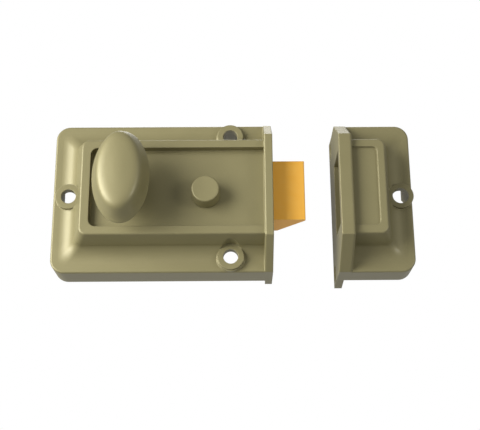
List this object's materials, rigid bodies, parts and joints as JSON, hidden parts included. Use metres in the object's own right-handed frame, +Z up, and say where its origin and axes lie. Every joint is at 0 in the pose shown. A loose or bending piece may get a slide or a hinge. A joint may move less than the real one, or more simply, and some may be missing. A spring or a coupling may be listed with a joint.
{
  "type": "rim night latch",
  "caption": "Surface-mounted night latch with a sprung bevelled bolt, oval turn knob and snib button, with its keep.",
  "frame": {"origin": "on the knob's axis, in the plane of the door face that the case is screwed to", "axes": "+X from the knob towards the keep, +Z up, +Y into the door, so the front of the case faces -Y"},
  "size_m": [0.1532, 0.0606, 0.0676],
  "materials": {
    "case_lacquer": "satin champagne metallic lacquer",
    "bolt_brass": "satin",
    "bush_brass": "machined",
    "plated_steel": "zinc plated",
    "screw_steel": "bright",
    "spring_steel": "drawn wire"
  },
  "bodies": {
    "case": {"case_body": "case_lacquer", "mounting_plate": "plated_steel", "cover_plate": "plated_steel", "cover_screws": "screw_steel", "follower_bush": "bush_brass", "knob_bush": "bush_brass", "detent_spring": "spring_steel", "detent_rivet": "screw_steel"},
    "knob": {"turn_knob": "case_lacquer", "knob_spindle": "bush_brass", "knob_pin": "screw_steel", "spindle_clip": "spring_steel", "follower": "plated_steel"},
    "bolt": {"latch_bolt": "bolt_brass", "bolt_tail": "plated_steel", "tail_rivets": "screw_steel", "spring_rod": "screw_steel", "bolt_spring": "spring_steel"},
    "snib": {"snib_button": "case_lacquer", "snib_slide": "plated_steel", "snib_pin": "screw_steel"},
    "keep": {"keep_body": "case_lacquer"}
  },
  "joints": [
    {"name": "knob_turn", "type": "hinge", "parent": "case", "child": "knob", "pos_m": [0, 0, 0], "axis": [0, -1, 0], "range_deg": [0, 60]},
    {"name": "bolt_slide", "type": "slide", "parent": "case", "child": "bolt", "axis": [1, 0, 0], "range_m": [-0.0135, 0], "stiffness_N_per_m": 350, "springref_m": 0.008, "deforming": ["bolt_spring"]},
    {"name": "snib_slide_joint", "type": "slide", "parent": "case", "child": "snib", "axis": [0, 0, 1], "range_m": [0, 0.005]},
    {"name": "keep_place", "type": "slide", "parent": "case", "child": "keep", "axis": [1, 0, 0], "range_m": [-0.0245, 0]}
  ],
  "couplings": [
    {"joint": "knob_turn", "follows": "bolt_slide", "rad_per_m": -77.57}
  ]
}
